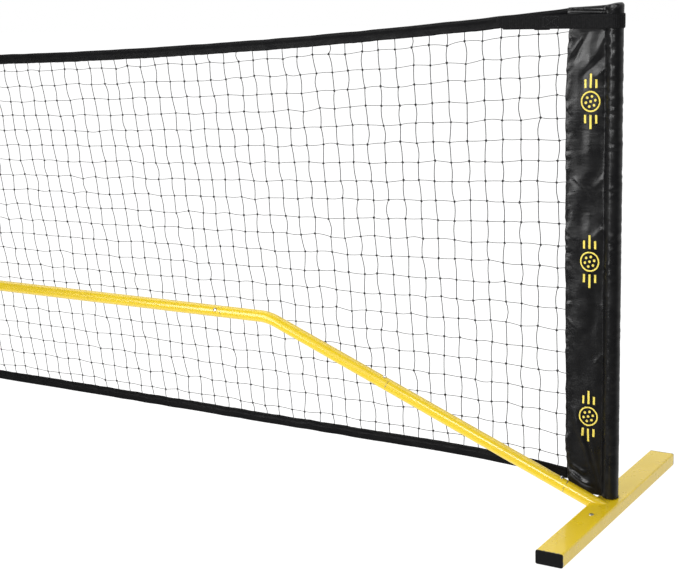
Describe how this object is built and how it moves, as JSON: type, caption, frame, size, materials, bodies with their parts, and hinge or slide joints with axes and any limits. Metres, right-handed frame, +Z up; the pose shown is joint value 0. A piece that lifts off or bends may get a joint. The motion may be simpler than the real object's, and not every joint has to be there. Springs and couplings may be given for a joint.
{
  "type": "portable pickleball net",
  "caption": "Portable court net: a knock-down frame of tubes locked by sprung buttons, on three feet, with a mesh net that slips over two posts.",
  "frame": {"origin": "on the ground under the middle of the net, midway between the posts and the ends of the feet", "axes": "+X along the net to the right post, +Y across the net away from the rail, +Z up"},
  "size_m": [6.756, 0.574, 0.9235],
  "materials": {
    "yellow_paint": "glossy yellow powder coat",
    "button_steel": "bright nickel plate",
    "rivet_steel": "plain steel",
    "spring_steel": "plain spring steel",
    "black_plastic": "moulded, fine grain",
    "buckle_plastic": "moulded, satin",
    "sleeve_vinyl": "glossy creased vinyl",
    "band_tape": "coated tape, satin",
    "webbing": "ribbed weave",
    "net_twine": "twisted, knotted",
    "cord": "braided"
  },
  "bodies": {
    "frame": {"foot_centre": "yellow_paint", "foot_plug_front_centre": "black_plastic", "foot_plug_rear_centre": "black_plastic", "rail_coupler": "yellow_paint", "centre_column": "yellow_paint", "centre_stub": "yellow_paint", "centre_post": "yellow_paint", "centre_cap": "black_plastic", "snap_springs": "spring_steel", "foot_left": "yellow_paint", "foot_plug_front_left": "black_plastic", "foot_plug_rear_left": "black_plastic", "foot_rivet_left": "rivet_steel", "post_spigot_left": "yellow_paint", "post_left": "yellow_paint", "post_cap_left": "black_plastic", "brace_socket_left": "yellow_paint", "brace_tube_left": "yellow_paint", "elbow_tube_left": "yellow_paint", "rail_tube_outer_left": "yellow_paint", "rail_tube_middle_left": "yellow_paint", "rail_tube_inner_left": "yellow_paint", "foot_right": "yellow_paint", "foot_plug_front_right": "black_plastic", "foot_plug_rear_right": "black_plastic", "foot_rivet_right": "rivet_steel", "post_spigot_right": "yellow_paint", "post_right": "yellow_paint", "post_cap_right": "black_plastic", "brace_socket_right": "yellow_paint", "brace_tube_right": "yellow_paint", "elbow_tube_right": "yellow_paint", "rail_tube_outer_right": "yellow_paint", "rail_tube_middle_right": "yellow_paint", "rail_tube_inner_right": "yellow_paint"},
    "net": {"net_mesh": "net_twine", "top_band": "band_tape", "bottom_band": "band_tape", "headline_cord": "cord", "foot_cord": "cord", "centre_pocket": "band_tape", "side_sleeve_left": "sleeve_vinyl", "side_sleeve_right": "sleeve_vinyl", "top_strap_left": "webbing", "top_strap_right": "webbing", "strap_slider_left": "buckle_plastic", "strap_slider_right": "buckle_plastic"},
    "snap_socket_left": {"button_socket_left": "button_steel"},
    "snap_brace_left": {"button_brace_left": "button_steel"},
    "snap_elbow_left": {"button_elbow_left": "button_steel"},
    "snap_rail_outer_left": {"button_rail_outer_left": "button_steel"},
    "snap_rail_middle_left": {"button_rail_middle_left": "button_steel"},
    "snap_rail_inner_left": {"button_rail_inner_left": "button_steel"},
    "snap_socket_right": {"button_socket_right": "button_steel"},
    "snap_brace_right": {"button_brace_right": "button_steel"},
    "snap_elbow_right": {"button_elbow_right": "button_steel"},
    "snap_rail_outer_right": {"button_rail_outer_right": "button_steel"},
    "snap_rail_middle_right": {"button_rail_middle_right": "button_steel"},
    "snap_rail_inner_right": {"button_rail_inner_right": "button_steel"},
    "snap_centre": {"button_centre": "button_steel"}
  },
  "joints": [
    {"name": "net_lift", "type": "slide", "parent": "frame", "child": "net", "axis": [0, 0, 1], "range_m": [0, 0.9]},
    {"name": "press_socket_left", "type": "slide", "parent": "frame", "child": "snap_socket_left", "axis": [0.3665, 0, -0.9304], "range_m": [0, 0.0038], "stiffness_N_per_m": 1000, "springref_m": -0.002},
    {"name": "press_brace_left", "type": "slide", "parent": "frame", "child": "snap_brace_left", "axis": [0.3665, 0, -0.9304], "range_m": [0, 0.0038], "stiffness_N_per_m": 1000, "springref_m": -0.002},
    {"name": "press_elbow_left", "type": "slide", "parent": "frame", "child": "snap_elbow_left", "axis": [0, 0.9063, -0.4226], "range_m": [0, 0.0038], "stiffness_N_per_m": 1000, "springref_m": -0.002},
    {"name": "press_rail_outer_left", "type": "slide", "parent": "frame", "child": "snap_rail_outer_left", "axis": [0, 0.9063, -0.4226], "range_m": [0, 0.0038], "stiffness_N_per_m": 1000, "springref_m": -0.002},
    {"name": "press_rail_middle_left", "type": "slide", "parent": "frame", "child": "snap_rail_middle_left", "axis": [0, 0.9063, -0.4226], "range_m": [0, 0.0038], "stiffness_N_per_m": 1000, "springref_m": -0.002},
    {"name": "press_rail_inner_left", "type": "slide", "parent": "frame", "child": "snap_rail_inner_left", "axis": [0, 0.9063, -0.4226], "range_m": [0, 0.0038], "stiffness_N_per_m": 1000, "springref_m": -0.002},
    {"name": "press_socket_right", "type": "slide", "parent": "frame", "child": "snap_socket_right", "axis": [-0.3665, 0, -0.9304], "range_m": [0, 0.0038], "stiffness_N_per_m": 1000, "springref_m": -0.002},
    {"name": "press_brace_right", "type": "slide", "parent": "frame", "child": "snap_brace_right", "axis": [-0.3665, 0, -0.9304], "range_m": [0, 0.0038], "stiffness_N_per_m": 1000, "springref_m": -0.002},
    {"name": "press_elbow_right", "type": "slide", "parent": "frame", "child": "snap_elbow_right", "axis": [0, 0.9063, -0.4226], "range_m": [0, 0.0038], "stiffness_N_per_m": 1000, "springref_m": -0.002},
    {"name": "press_rail_outer_right", "type": "slide", "parent": "frame", "child": "snap_rail_outer_right", "axis": [0, 0.9063, -0.4226], "range_m": [0, 0.0038], "stiffness_N_per_m": 1000, "springref_m": -0.002},
    {"name": "press_rail_middle_right", "type": "slide", "parent": "frame", "child": "snap_rail_middle_right", "axis": [0, 0.9063, -0.4226], "range_m": [0, 0.0038], "stiffness_N_per_m": 1000, "springref_m": -0.002},
    {"name": "press_rail_inner_right", "type": "slide", "parent": "frame", "child": "snap_rail_inner_right", "axis": [0, 0.9063, -0.4226], "range_m": [0, 0.0038], "stiffness_N_per_m": 1000, "springref_m": -0.002},
    {"name": "press_centre", "type": "slide", "parent": "frame", "child": "snap_centre", "axis": [0, 1, 0], "range_m": [0, 0.0038], "stiffness_N_per_m": 1000, "springref_m": -0.002}
  ]
}
